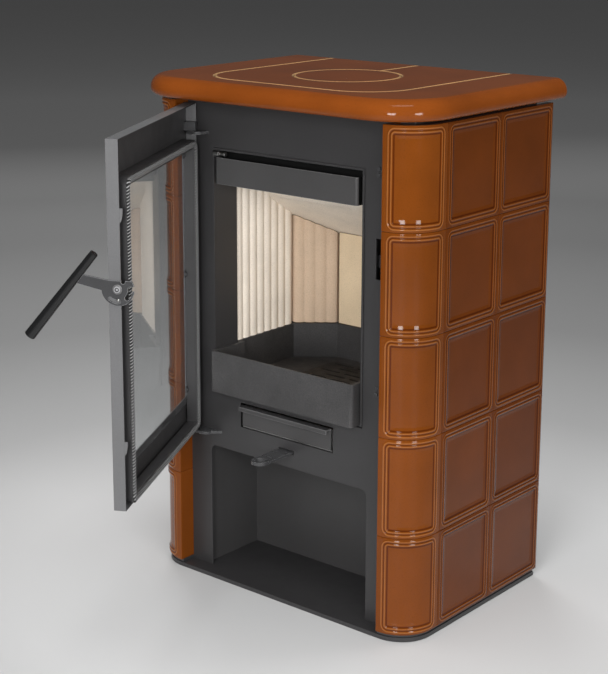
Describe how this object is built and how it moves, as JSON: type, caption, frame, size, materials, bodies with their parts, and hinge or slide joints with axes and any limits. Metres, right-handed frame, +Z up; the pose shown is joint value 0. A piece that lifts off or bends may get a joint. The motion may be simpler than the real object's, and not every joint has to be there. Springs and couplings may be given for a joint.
{
  "type": "tiled stove",
  "caption": "Tall narrow wood stove with glazed tile columns, a thick tile crown, a glazed steel fire door standing open, a lined firebox and a wood store below.",
  "frame": {"origin": "centre of the underside of the base, on the floor", "axes": "+X to the right seen from the front, +Y from the front to the back, +Z up"},
  "size_m": [0.64, 0.8784, 0.936],
  "materials": {
    "glazed_tile": "glossy caramel-brown glaze, lighter on raised beads and darker in the grooves",
    "fireclay": "matt cream fireclay with a fine speckle",
    "cast_iron_parts": "dark cast iron, slightly rough",
    "door_glass": "clear ceramic glass",
    "seal_rope": "braided glass-fibre rope",
    "bare_steel": "bare steel",
    "black_fittings": "satin black stove paint",
    "black_steel": "satin black stove paint"
  },
  "bodies": {
    "stove": {"base_plate": "black_steel", "front_plate": "black_steel", "side_panels": "black_steel", "back_panel": "black_steel", "top_plate": "black_steel", "wood_box": "black_steel", "ash_compartment": "bare_steel", "air_box": "bare_steel", "firebox_shell": "black_steel", "top_outlet_cap": "bare_steel", "flue_collar": "black_steel", "fire_bowl": "cast_iron_parts", "lining_left": "fireclay", "lining_right": "fireclay", "lining_back": "fireclay", "lining_corners": "fireclay", "baffle_plate": "fireclay", "air_deflector": "black_steel", "tile_rails": "black_steel", "corner_tile_left_1": "glazed_tile", "corner_tile_left_2": "glazed_tile", "corner_tile_left_3": "glazed_tile", "corner_tile_left_4": "glazed_tile", "corner_tile_left_5": "glazed_tile", "corner_tile_right_1": "glazed_tile", "corner_tile_right_2": "glazed_tile", "corner_tile_right_3": "glazed_tile", "corner_tile_right_4": "glazed_tile", "corner_tile_right_5": "glazed_tile", "side_tiles_left_1": "glazed_tile", "side_tiles_left_2": "glazed_tile", "side_tiles_left_3": "glazed_tile", "side_tiles_left_4": "glazed_tile", "side_tiles_left_5": "glazed_tile", "side_tiles_right_1": "glazed_tile", "side_tiles_right_2": "glazed_tile", "side_tiles_right_3": "glazed_tile", "side_tiles_right_4": "glazed_tile", "side_tiles_right_5": "glazed_tile", "crown_frame": "glazed_tile", "crown_insert": "glazed_tile", "hinge_brackets": "black_fittings", "hinge_pins": "bare_steel", "catch_bracket": "black_fittings", "front_screws": "bare_steel"},
    "door": {"door_panel": "black_steel", "door_frame": "black_steel", "rope_seal": "seal_rope", "door_glass": "door_glass", "glass_clips": "bare_steel", "door_bushes": "bare_steel", "latch_bolt": "bare_steel"},
    "handle": {"latch_arm": "black_fittings", "handle_rod": "black_fittings"},
    "ash_drawer": {"ash_pan": "bare_steel", "drawer_front": "black_steel"},
    "air_control": {"air_lever": "black_fittings", "air_slide": "bare_steel"},
    "lid": {"crown_lid": "glazed_tile"},
    "grate": {"grate": "cast_iron_parts"}
  },
  "joints": [
    {"name": "door_hinge", "type": "hinge", "parent": "stove", "child": "door", "pos_m": [-0.208, -0.182, 0.56], "axis": [0, 0, -1], "range_deg": [-62.2, 29.8]},
    {"name": "handle_turn", "type": "hinge", "parent": "door", "child": "handle", "pos_m": [-0.00862, -0.56208, 0.651], "axis": [-0.4664, 0.8846, 0], "range_deg": [-38.6, 0]},
    {"name": "ash_drawer_slide", "type": "slide", "parent": "stove", "child": "ash_drawer", "axis": [0, -1, 0], "range_m": [0, 0.21]},
    {"name": "air_slide_travel", "type": "slide", "parent": "stove", "child": "air_control", "axis": [0, 1, 0], "range_m": [0, 0.036]},
    {"name": "lid_lift", "type": "slide", "parent": "stove", "child": "lid", "axis": [0, 0, 1], "range_m": [0, 0.09]},
    {"name": "grate_lift", "type": "slide", "parent": "stove", "child": "grate", "axis": [0, 0, 1], "range_m": [0, 0.045]}
  ]
}
